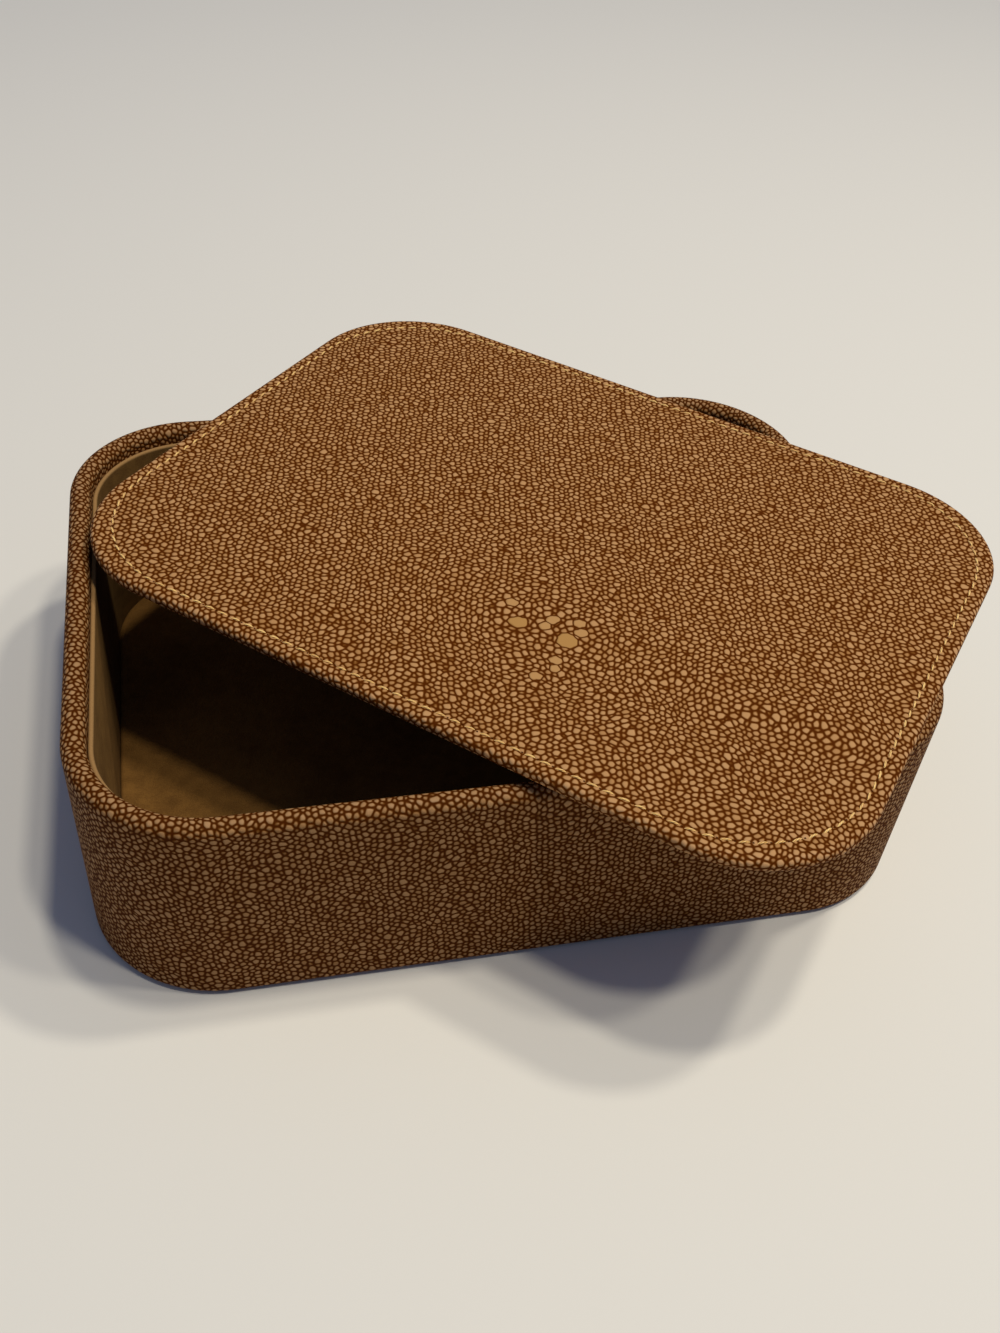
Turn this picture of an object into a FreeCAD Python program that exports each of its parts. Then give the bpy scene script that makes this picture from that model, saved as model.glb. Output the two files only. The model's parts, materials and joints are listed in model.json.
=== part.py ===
import FreeCAD, Part

import math
import os

import Sketcher

# A box with rounded corners, covered in faux leather and lined with suede, and its loose lid.
# Millimetres, +Z up. The origin is the middle of the underside, +X runs along the box, -Y is its front.

Vector = FreeCAD.Vector

# Driving dimensions: alias, value, meaning.
SIZES = [
    ("box_length", 305, "outside length of the box and of its lid"),
    ("box_width", 229, "outside width of the box and of its lid"),
    ("rim_height", 86, "height of the rim above the table"),
    ("corner_radius", 47, "outside radius of the upright corners"),
    ("skin_thickness", 0.9, "faux leather"),
    ("suede_thickness", 0.5, "suede of the lining"),
    ("glue_line", 0.1, "room for glue between two layers"),
    ("seam_gap", 0.3, "gap between the butted ends of a strip, at the back"),
    ("wall_board_thickness", 6, "wall boards and corner blocks"),
    ("wall_board_ease", 1.2, "rounding of the wall boards' lower outer edge"),
    ("bottom_board_thickness", 4, "board that closes the box below"),
    ("turn_under_width", 12, "leather under the box, from the outside face"),
    ("turn_in_depth", 14, "leather inside the box, from the top of the rim"),
    ("card_clearance", 0.3, "room round the edges of a card"),
    ("lining_drop", 6.5, "top of the lining, below the top of the rim"),
    ("lining_card_thickness", 0.6, "stiff strip of the wall lining"),
    ("floor_card_thickness", 1.5, "stiff sheet of the floor lining"),
    ("floor_clearance", 0.3, "room between the floor lining and the wall lining"),
    ("floor_edge_radius", 1, "rounding of the floor lining's upper edge"),
    ("base_felt_thickness", 1.2, "sheet that the box stands on"),
    ("base_felt_inset", 4, "edge of that sheet, from the outside face"),
    ("lid_board_thickness", 3.2, "stiff panel of the lid"),
    ("lid_board_ease", 1.4, "rounding of the panel's edges"),
    ("lid_turn_in_width", 15, "leather under the lid, from the outside face"),
    ("locating_board_thickness", 2.4, "board under the lid that drops inside the rim"),
    ("locating_clearance", 1.2, "room between that board and the rim"),
    ("locating_edge_radius", 1, "rounding of its lower edge"),
    ("stitch_inset", 5.7, "row of stitches, from the lid's straight sides"),
    ("stitch_pitch", 5.5, "one stitch to the next"),
    ("stitch_length", 4.4, "thread that shows in one stitch"),
    ("thread_diameter", 0.8, "sewing thread"),
    ("lid_shift_length", 27.6, "where the lid lies, from the box's middle, along the box"),
    ("lid_shift_width", 8.7, "where the lid lies, from the box's middle, across the box"),
    ("lid_turn", -41.9, "how far the lid is turned on the rim, in degrees"),
    ("rest_gap", 0.3, "room between the lid's locating board and the rim"),
]

QUARTER_TURN = 90
HALF_TURN = 180
ON_AXIS = "0"
SAME_LEVEL = 1e-6
LARGEST_EASE_SHARE = 0.45

# Insets of the layers of a wall, from the outside face inwards.
BOARD_FACE = "(Sizes.skin_thickness + Sizes.glue_line)"
BOARD_BACK = f"({BOARD_FACE} + Sizes.wall_board_thickness)"
TURN_IN_BACK = f"({BOARD_BACK} + Sizes.glue_line)"
RIM_WIDTH = f"({TURN_IN_BACK} + Sizes.skin_thickness)"
RIM_RADIUS = f"({RIM_WIDTH} / 2)"
FOLD_BACK = f"({RIM_WIDTH} + Sizes.glue_line)"
FOLD_FACE = f"({FOLD_BACK} + Sizes.suede_thickness)"
CARD_BACK = f"({FOLD_FACE} + Sizes.glue_line)"
CARD_FACE = f"({CARD_BACK} + Sizes.lining_card_thickness)"
SUEDE_BACK = f"({CARD_FACE} + Sizes.glue_line)"
LINING_FACE = f"({SUEDE_BACK} + Sizes.suede_thickness)"
LINING_RADIUS = f"(({LINING_FACE} - {FOLD_BACK}) / 2)"
FLOOR_INSET = f"({LINING_FACE} + Sizes.floor_clearance)"
FLOOR_CARD_INSET = f"({FLOOR_INSET} + Sizes.suede_thickness + Sizes.glue_line)"

# Levels in the box, from the table upwards.
SKIN_BOTTOM = "(Sizes.base_felt_thickness + Sizes.glue_line)"
BOARD_BOTTOM = f"({SKIN_BOTTOM} + Sizes.skin_thickness + Sizes.glue_line)"
LINING_BOTTOM = f"({BOARD_BOTTOM} + Sizes.bottom_board_thickness + Sizes.glue_line)"
RIM_AXIS = f"(Sizes.rim_height - {RIM_RADIUS})"
TURN_IN_END = "(Sizes.rim_height - Sizes.turn_in_depth)"
LINING_AXIS = f"(Sizes.rim_height - Sizes.lining_drop - {LINING_RADIUS})"
SKIN_EDGE_RADIUS = f"(Sizes.wall_board_ease + {BOARD_FACE})"
SKIN_EDGE_AXIS = f"({SKIN_BOTTOM} + {SKIN_EDGE_RADIUS})"

# Levels in the lid, from the underside of its leather, and insets from its outside face.
LID_BOARD_BOTTOM = "(Sizes.skin_thickness + Sizes.glue_line)"
LID_SKIN_TOP = f"(2 * {LID_BOARD_BOTTOM} + Sizes.lid_board_thickness)"
LID_SKIN_BACK = f"({LID_SKIN_TOP} - Sizes.skin_thickness)"
LID_BOARD_EASE = f"min(Sizes.lid_board_ease; {LARGEST_EASE_SHARE} * Sizes.lid_board_thickness)"
LID_EDGE_RADIUS = f"({LID_BOARD_EASE} + {LID_BOARD_BOTTOM})"
LID_UPPER_AXIS = f"({LID_SKIN_TOP} - {LID_EDGE_RADIUS})"
LOCATING_INSET = f"({RIM_WIDTH} + Sizes.locating_clearance)"
LOCATING_BOARD_INSET = f"({LOCATING_INSET} + Sizes.suede_thickness + Sizes.glue_line)"
LOCATING_BOARD_LEVEL = "(Sizes.locating_board_thickness + Sizes.glue_line)"
LOCATING_DEPTH = f"({LOCATING_BOARD_LEVEL} + Sizes.glue_line + Sizes.suede_thickness)"
LID_SEAT = f"(Sizes.rim_height + Sizes.rest_gap + {LOCATING_DEPTH})"

document = FreeCAD.newDocument("faux_leather_box")
sheet = document.addObject("Spreadsheet::Sheet", "Sizes")
for row, (alias, size, meaning) in enumerate(SIZES, start=1):
    sheet.set(f"A{row}", meaning)
    sheet.set(f"B{row}", str(size))
    sheet.setAlias(f"B{row}", alias)
document.recompute()

sub_parts = []


def value(expression):
    """The number that an expression on the sheet gives now."""
    return float(sheet.evalExpression(expression))


def new_body(label):
    """A body of its own for one sub-part."""
    body = document.addObject("PartDesign::Body", label)
    body.Label = label
    sub_parts.append(body)
    return body


def new_sketch(body, name, role):
    """A sketch on one of the body's own origin planes."""
    plane = next(feature for feature in body.Origin.OriginFeatures if feature.Role == role)
    sketch = body.newObject("Sketcher::SketchObject", name)
    sketch.AttachmentSupport = [(plane, "")]
    sketch.MapMode = "FlatFace"
    return sketch


def bind(sketch, constraint, name, expression):
    """Add a driving constraint and bind it to the sheet."""
    index = sketch.addConstraint(constraint)
    sketch.renameConstraint(index, name)
    sketch.setExpression(f"Constraints.{name}", expression)


def place(sub_part, across=ON_AXIS, along=ON_AXIS, up=ON_AXIS, turn=ON_AXIS):
    """Bind a sub-part's placement: its three coordinates and its turn about the upright axis."""
    sub_part.Placement = FreeCAD.Placement(Vector(), FreeCAD.Rotation(Vector(0, 0, 1), 0))
    sub_part.setExpression("Placement.Base.x", across)
    sub_part.setExpression("Placement.Base.y", along)
    sub_part.setExpression("Placement.Base.z", up)
    sub_part.setExpression("Placement.Rotation.Angle", turn)


def place_on_lid(sub_part, level=ON_AXIS):
    """Place a piece of the lid, drawn about the lid's middle, where the lid lies on the rim."""
    up = f"{LID_SEAT} + {level}"
    place(sub_part, "Sizes.lid_shift_length", "Sizes.lid_shift_width", up, "Sizes.lid_turn")


def plan_numbers(inset):
    """The plan outline moved inwards: half its length, half its width, and the corner radius."""
    half_length = value(f"Sizes.box_length / 2 - {inset}")
    half_width = value(f"Sizes.box_width / 2 - {inset}")
    radius = value(f"Sizes.corner_radius - {inset}")
    return half_length, half_width, radius


def corner_centres(half_length, half_width, radius):
    """The centres of the four corner arcs, anticlockwise from the front right."""
    across = half_length - radius
    along = half_width - radius
    return [Vector(across, -along), Vector(across, along), Vector(-across, along), Vector(-across, -along)]


def add_corner_arc(sketch, centre, radius, quarter):
    """Add one corner arc; quarter 0 starts towards the front and ends towards the right."""
    circle = Part.Circle(centre, Vector(0, 0, 1), radius)
    first = (quarter - 1) * math.pi / 2
    return sketch.addGeometry(Part.ArcOfCircle(circle, first, first + math.pi / 2))


def hold_square(sketch, front, right, back, left, arcs):
    """Keep an outline's sides square to the axes, its corners alike and its middle at the origin."""
    for line in (front, back):
        sketch.addConstraint(Sketcher.Constraint("Horizontal", line))
    for line in (left, right):
        sketch.addConstraint(Sketcher.Constraint("Vertical", line))
    for arc in arcs[1:]:
        sketch.addConstraint(Sketcher.Constraint("Equal", arcs[0], arc))
    sketch.addConstraint(Sketcher.Constraint("Symmetric", right, 1, left, 1, -1, 1))


def size_outline(sketch, front, right, back, left, arc, inset):
    """Bind an outline's length, width and corner radius to the sheet."""
    half_length, half_width, radius = plan_numbers(inset)
    length = Sketcher.Constraint("DistanceX", left, 1, right, 1, 2 * half_length)
    bind(sketch, length, "outline_length", f"Sizes.box_length - 2 * {inset}")
    width = Sketcher.Constraint("DistanceY", front, 1, back, 1, 2 * half_width)
    bind(sketch, width, "outline_width", f"Sizes.box_width - 2 * {inset}")
    corner = Sketcher.Constraint("Radius", arc, radius)
    bind(sketch, corner, "outline_corner", f"Sizes.corner_radius - {inset}")


def draw_rounded_rectangle(sketch, inset):
    """Draw the plan outline of box and lid, moved inwards by an inset."""
    half_length, half_width, radius = plan_numbers(inset)
    centres = corner_centres(half_length, half_width, radius)
    lines = []
    arcs = []
    for quarter, centre in enumerate(centres):
        outward = [Vector(0, -radius), Vector(radius, 0), Vector(0, radius), Vector(-radius, 0)][quarter]
        lines.append(sketch.addGeometry(Part.LineSegment(centres[quarter - 1] + outward, centre + outward)))
        arcs.append(add_corner_arc(sketch, centre, radius, quarter))
    for quarter, arc in enumerate(arcs):
        sketch.addConstraint(Sketcher.Constraint("Tangent", lines[quarter], 2, arc, 1))
        sketch.addConstraint(Sketcher.Constraint("Tangent", arc, 2, lines[(quarter + 1) % len(lines)], 1))
    hold_square(sketch, *lines, arcs)
    size_outline(sketch, *lines, arcs[0], inset)


def draw_section(sketch, corners):
    """Draw a closed outline through corners, each placed by two expressions.

    A corner is (across, up), or (across, up, centre) where an arc about the centre leads to the next corner.
    The centre is (across, up, sense), and its sense is "left" for an anticlockwise arc.
    """
    points = [Vector(value(corner[0]), value(corner[1])) for corner in corners]
    starts = []
    ends = []
    for index, corner in enumerate(corners):
        start = points[index]
        end = points[(index + 1) % len(points)]
        if len(corner) == 2:
            sketch.addGeometry(Part.LineSegment(start, end))
            leaves, arrives = 1, 2
        else:
            across, up, sense = corner[2]
            centre = Vector(value(across), value(up))
            from_angle, to_angle = (start, end) if sense == "left" else (end, start)
            first = math.atan2(from_angle.y - centre.y, from_angle.x - centre.x)
            last = math.atan2(to_angle.y - centre.y, to_angle.x - centre.x)
            circle = Part.Circle(centre, Vector(0, 0, 1), (start - centre).Length)
            sketch.addGeometry(Part.ArcOfCircle(circle, first, last))
            leaves, arrives = (1, 2) if sense == "left" else (2, 1)
        starts.append((index, leaves))
        ends.append((index, arrives))
    for index in range(len(corners)):
        sketch.addConstraint(Sketcher.Constraint("Coincident", *ends[index - 1], *starts[index]))
    for index, corner in enumerate(corners):
        across = Sketcher.Constraint("DistanceX", -1, 1, *starts[index], points[index].x)
        bind(sketch, across, f"across_{index}", corner[0])
        if corner[1] == ON_AXIS:
            sketch.addConstraint(Sketcher.Constraint("PointOnObject", *starts[index], -1))
        else:
            up = Sketcher.Constraint("DistanceY", -1, 1, *starts[index], points[index].y)
            bind(sketch, up, f"up_{index}", corner[1])
        if len(corner) > 2:
            centre_up = corner[2][1]
            centre = Sketcher.Constraint("DistanceY", -1, 1, index, 3, value(centre_up))
            bind(sketch, centre, f"centre_up_{index}", centre_up)


def add_pad(body, sketch, name, length):
    """Pad a sketch along its normal."""
    pad = body.newObject("PartDesign::Pad", name)
    pad.Profile = sketch
    pad.setExpression("Length", length)
    document.recompute()
    return pad


def add_fillet(body, feature, name, levels, radius):
    """Round the level edges of a slab at the given levels."""
    names = []
    for index, edge in enumerate(feature.Shape.Edges, start=1):
        bounds = edge.BoundBox
        for level in levels:
            if max(abs(bounds.ZMin - level), abs(bounds.ZMax - level)) < SAME_LEVEL:
                names.append(f"Edge{index}")
    fillet = body.newObject("PartDesign::Fillet", name)
    fillet.Base = (feature, names)
    fillet.setExpression("Radius", radius)
    document.recompute()
    return fillet


def make_slab(label, inset, thickness):
    """A flat sheet or board with the plan outline moved inwards."""
    body = new_body(label)
    sketch = new_sketch(body, f"{label}_outline", "XY_Plane")
    draw_rounded_rectangle(sketch, inset)
    add_pad(body, sketch, f"{label}_sheet", thickness)
    return body


def draw_way_round(sketch, gap):
    """Draw the way round the outside of the walls, from the middle of the back and round to it.

    The two ends stay a gap apart, as the butted ends of a strip do, or meet where the gap is none.
    """
    half_length, half_width, radius = plan_numbers(ON_AXIS)
    centres = corner_centres(half_length, half_width, radius)
    half_gap = value(gap) / 2
    to_back = Vector(0, radius)
    to_right = Vector(radius, 0)
    left_end = Vector(-half_gap, half_width)
    right_end = Vector(half_gap, half_width)
    front_right, back_right, back_left, front_left = centres
    back_start = sketch.addGeometry(Part.LineSegment(left_end, back_left + to_back))
    left = sketch.addGeometry(Part.LineSegment(back_left - to_right, front_left - to_right))
    front = sketch.addGeometry(Part.LineSegment(front_left - to_back, front_right - to_back))
    right = sketch.addGeometry(Part.LineSegment(front_right + to_right, back_right + to_right))
    back_end = sketch.addGeometry(Part.LineSegment(back_right + to_back, right_end))
    arcs = [add_corner_arc(sketch, centre, radius, quarter) for quarter, centre in enumerate(centres)]
    runs = [front, right, back_end]
    for arc, before, after in zip(arcs, runs, runs[1:]):
        sketch.addConstraint(Sketcher.Constraint("Tangent", before, 2, arc, 1))
        sketch.addConstraint(Sketcher.Constraint("Tangent", arc, 2, after, 1))
    runs = [back_start, left, front]
    for arc, before, after in zip(arcs[2:], runs, runs[1:]):
        sketch.addConstraint(Sketcher.Constraint("Tangent", before, 2, arc, 1))
        sketch.addConstraint(Sketcher.Constraint("Tangent", arc, 2, after, 1))
    hold_square(sketch, front, right, back_end, left, arcs)
    size_outline(sketch, front, right, back_end, left, arcs[0], ON_AXIS)
    if gap == ON_AXIS:
        for line, end in ((back_start, 1), (back_end, 2)):
            sketch.addConstraint(Sketcher.Constraint("PointOnObject", line, end, -2))
    else:
        sketch.addConstraint(Sketcher.Constraint("Symmetric", back_start, 1, back_end, 2, -2))
        width = Sketcher.Constraint("DistanceX", back_start, 1, back_end, 2, 2 * half_gap)
        bind(sketch, width, "gap", gap)


def section_from(face, layers):
    """Turn corners given as insets and levels into corners on a section whose outside is at face."""
    corners = []
    for inset, up, *arc in layers:
        corner = [f"{face} - {inset}", up]
        for centre_inset, centre_up, sense in arc:
            corner.append((f"{face} - {centre_inset}", centre_up, sense))
        corners.append(corner)
    return corners


def make_strip(label, layers, gap):
    """Material of one section that goes once round the walls or the lid."""
    body = new_body(label)
    way = new_sketch(body, f"{label}_way", "XY_Plane")
    draw_way_round(way, gap)
    section = new_sketch(body, f"{label}_section", "YZ_Plane")
    section.setExpression("AttachmentOffset.Base.z", f"-{gap} / 2")
    draw_section(section, section_from("Sizes.box_width / 2", layers))
    document.recompute()
    strip = body.newObject("PartDesign::AdditivePipe", f"{label}_strip")
    strip.Profile = section
    strip.Spine = way
    document.recompute()
    return body


def rectangle(back, face, bottom, top):
    """The four corners of an upright layer of a wall, from its back and face insets and its levels."""
    return [(face, bottom), (back, bottom), (back, top), (face, top)]


WALL_BOARD_EASE_INSET = f"({BOARD_FACE} + Sizes.wall_board_ease)"
WALL_BOARD_EASE_LEVEL = f"({BOARD_BOTTOM} + Sizes.wall_board_ease)"
WALL_BOARD_LAYERS = [
    (BOARD_FACE, WALL_BOARD_EASE_LEVEL),
    (BOARD_FACE, RIM_AXIS, (RIM_RADIUS, RIM_AXIS, "left")),
    (BOARD_BACK, RIM_AXIS),
    (BOARD_BACK, BOARD_BOTTOM),
    (WALL_BOARD_EASE_INSET, BOARD_BOTTOM, (WALL_BOARD_EASE_INSET, WALL_BOARD_EASE_LEVEL, "left")),
]


def make_wall_board(label, length, across, along, turn):
    """A straight wall board with a rounded top edge, between two corner blocks."""
    body = new_body(label)
    section = new_sketch(body, f"{label}_section", "YZ_Plane")
    draw_section(section, section_from("Sizes.corner_radius", WALL_BOARD_LAYERS))
    run = f"{length} - 2 * Sizes.corner_radius - 2 * Sizes.glue_line"
    board = add_pad(body, section, f"{label}_board", run)
    board.SideType = "Symmetric"
    place(body, across, along, turn=str(turn))


def make_corner_block(label, across, along, turn):
    """A quarter ring of the wall boards' section."""
    body = new_body(label)
    section = new_sketch(body, f"{label}_section", "XZ_Plane")
    draw_section(section, section_from("Sizes.corner_radius", WALL_BOARD_LAYERS))
    document.recompute()
    block = body.newObject("PartDesign::Revolution", f"{label}_block")
    block.Profile = section
    block.ReferenceAxis = (section, ["V_Axis"])
    block.Angle = QUARTER_TURN
    place(body, across, along, turn=str(turn))


def make_walls():
    """The frame of the box: four wall boards and four corner blocks round the bottom board."""
    right = "(Sizes.box_length / 2 - Sizes.corner_radius)"
    back = "(Sizes.box_width / 2 - Sizes.corner_radius)"
    make_wall_board("front_wall_board", "Sizes.box_length", ON_AXIS, f"-{back}", HALF_TURN)
    make_wall_board("back_wall_board", "Sizes.box_length", ON_AXIS, back, 0)
    make_wall_board("left_wall_board", "Sizes.box_width", f"-{right}", ON_AXIS, QUARTER_TURN)
    make_wall_board("right_wall_board", "Sizes.box_width", right, ON_AXIS, -QUARTER_TURN)
    make_corner_block("corner_block_back_right", right, back, 0)
    make_corner_block("corner_block_back_left", f"-{right}", back, QUARTER_TURN)
    make_corner_block("corner_block_front_left", f"-{right}", f"-{back}", HALF_TURN)
    make_corner_block("corner_block_front_right", right, f"-{back}", -QUARTER_TURN)
    bottom_board = make_slab("bottom_board", TURN_IN_BACK, "Sizes.bottom_board_thickness")
    place(bottom_board, up=BOARD_BOTTOM)


def make_wall_covering():
    """The faux leather round the walls, turned under the bottom and over the rim."""
    make_strip("wall_covering", [
        ("Sizes.turn_under_width", SKIN_BOTTOM),
        (SKIN_EDGE_RADIUS, SKIN_BOTTOM, (SKIN_EDGE_RADIUS, SKIN_EDGE_AXIS, "left")),
        (ON_AXIS, SKIN_EDGE_AXIS),
        (ON_AXIS, RIM_AXIS, (RIM_RADIUS, RIM_AXIS, "left")),
        (RIM_WIDTH, RIM_AXIS),
        (RIM_WIDTH, TURN_IN_END),
        (TURN_IN_BACK, TURN_IN_END),
        (TURN_IN_BACK, RIM_AXIS, (RIM_RADIUS, RIM_AXIS, "right")),
        ("Sizes.skin_thickness", RIM_AXIS),
        ("Sizes.skin_thickness", SKIN_EDGE_AXIS, (SKIN_EDGE_RADIUS, SKIN_EDGE_AXIS, "right")),
        (SKIN_EDGE_RADIUS, f"{SKIN_BOTTOM} + Sizes.skin_thickness"),
        ("Sizes.turn_under_width", f"{SKIN_BOTTOM} + Sizes.skin_thickness"),
    ], "Sizes.seam_gap")


def make_wall_lining():
    """The packing card, the lining card and the suede folded over its top edge."""
    packing_top = f"{TURN_IN_END} - Sizes.card_clearance"
    packing = rectangle(TURN_IN_BACK, FOLD_FACE, LINING_BOTTOM, packing_top)
    make_strip("wall_packing_card", packing, "Sizes.seam_gap")
    card = rectangle(CARD_BACK, CARD_FACE, LINING_BOTTOM, LINING_AXIS)
    make_strip("wall_lining_card", card, "Sizes.seam_gap")
    middle = f"(({FOLD_BACK} + {LINING_FACE}) / 2)"
    make_strip("wall_lining_suede", [
        (LINING_FACE, LINING_BOTTOM),
        (SUEDE_BACK, LINING_BOTTOM),
        (SUEDE_BACK, LINING_AXIS, (middle, LINING_AXIS, "right")),
        (FOLD_FACE, LINING_AXIS),
        (FOLD_FACE, TURN_IN_END),
        (FOLD_BACK, TURN_IN_END),
        (FOLD_BACK, LINING_AXIS, (middle, LINING_AXIS, "left")),
        (LINING_FACE, LINING_AXIS),
    ], "Sizes.seam_gap")


def make_wrapped_sheet(label, inset, thickness, opens_up, edge_radius):
    """Suede drawn over one face of a card or board and round its edge: a shallow tray."""
    body = make_slab(label, inset, thickness)
    sheet_pad = body.Tip
    hollow = new_sketch(body, f"{label}_hollow_outline", "XY_Plane")
    draw_rounded_rectangle(hollow, f"({inset} + Sizes.suede_thickness)")
    if opens_up:
        hollow.setExpression("AttachmentOffset.Base.z", thickness)
    document.recompute()
    pocket = body.newObject("PartDesign::Pocket", f"{label}_hollow")
    pocket.Profile = hollow
    pocket.Reversed = not opens_up
    pocket.setExpression("Length", f"{thickness} - Sizes.suede_thickness")
    document.recompute()
    if not pocket.Shape.Volume < sheet_pad.Shape.Volume:
        raise RuntimeError(f"{label}: the hollow cut nothing")
    covered_level = 0 if opens_up else value(thickness)
    add_fillet(body, pocket, f"{label}_edge", [covered_level], edge_radius)
    return body


def make_floor():
    """The floor lining, and the card and the felt under the box."""
    floor_card = make_slab("floor_card", FLOOR_CARD_INSET, "Sizes.floor_card_thickness")
    place(floor_card, up=LINING_BOTTOM)
    thickness = "(Sizes.floor_card_thickness + Sizes.glue_line + Sizes.suede_thickness)"
    radius = "Sizes.floor_edge_radius"
    floor_suede = make_wrapped_sheet("floor_suede", FLOOR_INSET, thickness, False, radius)
    place(floor_suede, up=LINING_BOTTOM)
    card_inset = "(Sizes.turn_under_width + Sizes.card_clearance)"
    levelling_card = make_slab("base_levelling_card", card_inset, "Sizes.skin_thickness")
    place(levelling_card, up=SKIN_BOTTOM)
    base_felt = make_slab("base_felt", "Sizes.base_felt_inset", "Sizes.base_felt_thickness")
    place(base_felt)


def make_lid_panel():
    """The stiff panel, its faux leather skin and the card inside the turned-under leather."""
    board = make_slab("lid_board", LID_BOARD_BOTTOM, "Sizes.lid_board_thickness")
    levels = [0, value("Sizes.lid_board_thickness")]
    add_fillet(board, board.Tip, "lid_board_edges", levels, LID_BOARD_EASE)
    place_on_lid(board, LID_BOARD_BOTTOM)
    covering = make_strip("lid_covering", [
        ("Sizes.lid_turn_in_width", ON_AXIS),
        (LID_EDGE_RADIUS, ON_AXIS, (LID_EDGE_RADIUS, LID_EDGE_RADIUS, "left")),
        (ON_AXIS, LID_EDGE_RADIUS),
        (ON_AXIS, LID_UPPER_AXIS, (LID_EDGE_RADIUS, LID_UPPER_AXIS, "left")),
        (LID_EDGE_RADIUS, LID_SKIN_TOP),
        (LID_EDGE_RADIUS, LID_SKIN_BACK, (LID_EDGE_RADIUS, LID_UPPER_AXIS, "right")),
        ("Sizes.skin_thickness", LID_UPPER_AXIS),
        ("Sizes.skin_thickness", LID_EDGE_RADIUS, (LID_EDGE_RADIUS, LID_EDGE_RADIUS, "right")),
        (LID_EDGE_RADIUS, "Sizes.skin_thickness"),
        ("Sizes.lid_turn_in_width", "Sizes.skin_thickness"),
    ], ON_AXIS)
    top = new_sketch(covering, "lid_covering_top_outline", "XY_Plane")
    top.setExpression("AttachmentOffset.Base.z", LID_SKIN_BACK)
    draw_rounded_rectangle(top, LID_EDGE_RADIUS)
    add_pad(covering, top, "lid_covering_top", "Sizes.skin_thickness")
    place_on_lid(covering)
    card_inset = "(Sizes.lid_turn_in_width + Sizes.card_clearance)"
    card = make_slab("lid_levelling_card", card_inset, "Sizes.skin_thickness")
    place_on_lid(card)


def make_locating_board():
    """The board under the lid that drops inside the rim, and the suede drawn over it."""
    board = make_slab("locating_board", LOCATING_BOARD_INSET, "Sizes.locating_board_thickness")
    place_on_lid(board, f"-{LOCATING_BOARD_LEVEL}")
    thickness = f"({LOCATING_DEPTH} - Sizes.glue_line)"
    radius = "Sizes.locating_edge_radius"
    suede = make_wrapped_sheet("locating_board_suede", LOCATING_INSET, thickness, True, radius)
    place_on_lid(suede, f"-{LOCATING_DEPTH}")


def stitch_spots():
    """Evenly spaced places round the lid: the point and the heading of each stitch.

    The row turns at the same radius as the lid's outline, so it lies deeper at the corners.
    """
    half_length, half_width, _ = plan_numbers("Sizes.stitch_inset")
    radius = value("Sizes.corner_radius")
    centres = corner_centres(half_length, half_width, radius)
    bend = radius * math.pi / 2
    runs = [2 * (half_length - radius), 2 * (half_width - radius)] * 2
    way = sum(runs) + len(runs) * bend
    count = round(way / value("Sizes.stitch_pitch"))
    for index in range(count):
        distance = way * index / count
        side = 0
        while distance > runs[side] + bend:
            distance -= runs[side] + bend
            side += 1
        heading = side * math.pi / 2
        centre = centres[side]
        if distance < runs[side]:
            ahead = distance - runs[side]
        else:
            ahead = 0
            heading += (distance - runs[side]) / radius
        forward = Vector(math.cos(heading), math.sin(heading))
        outward = Vector(math.sin(heading), -math.cos(heading))
        yield centre + forward * ahead + outward * radius, math.degrees(heading)


def make_stitching():
    """The thread that shows on the lid, one rounded bar for each stitch."""
    length = value("Sizes.stitch_length")
    bar = Part.makeCylinder(value("Sizes.thread_diameter / 2"), length, Vector(), Vector(0, 0, 1), HALF_TURN)
    lying = FreeCAD.Rotation(Vector(0, 1, 0), Vector(0, 0, 1), Vector(1, 0, 0), "ZXY")
    bar.Placement = FreeCAD.Placement(Vector(-length / 2, 0, 0), lying)
    top = value(LID_SKIN_TOP)
    stitches = []
    for spot, heading in stitch_spots():
        turned = FreeCAD.Placement(spot + Vector(0, 0, top), FreeCAD.Rotation(Vector(0, 0, 1), heading))
        stitch = bar.copy()
        stitch.Placement = turned.multiply(bar.Placement)
        stitches.append(stitch)
    stitching = document.addObject("Part::Feature", "lid_stitching")
    stitching.Label = "lid_stitching"
    stitching.Shape = Part.makeCompound(stitches)
    place_on_lid(stitching)
    sub_parts.append(stitching)


def write_parts():
    """Check every object and write each sub-part to its own file."""
    document.recompute()
    for feature in document.Objects:
        if "Invalid" in feature.State or "Error" in feature.State:
            raise RuntimeError(f"{feature.Name} failed: {feature.State}")
    for sub_part in sub_parts:
        shape = sub_part.Shape
        if shape.isNull() or not shape.isValid():
            raise RuntimeError(f"{sub_part.Label} has no valid shape")
    os.makedirs("parts", exist_ok=True)
    for sub_part in sub_parts:
        sub_part.Shape.exportStep(f"parts/{sub_part.Label}.step")
        solids = len(sub_part.Shape.Solids)
        print(f"{sub_part.Label}: {solids} solid(s), {sub_part.Shape.Volume:.1f} cubic mm")


make_walls()
make_wall_covering()
make_wall_lining()
make_floor()
make_lid_panel()
make_locating_board()
make_stitching()
write_parts()
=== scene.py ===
"""Looks of a faux leather box with a loose lid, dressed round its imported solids.

Metres, +Z up. The origin is the middle of the underside, +X runs along the box and -Y is its front.
"""

import json
import logging
import math
from dataclasses import dataclass, field, replace
from enum import Enum
from typing import Any, Callable, Mapping, Optional, Sequence, Union

import bmesh
import bpy
from bmesh.types import BMEdge, BMesh, BMFace, BMVert
from mathutils import Color, Matrix, Vector


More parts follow.
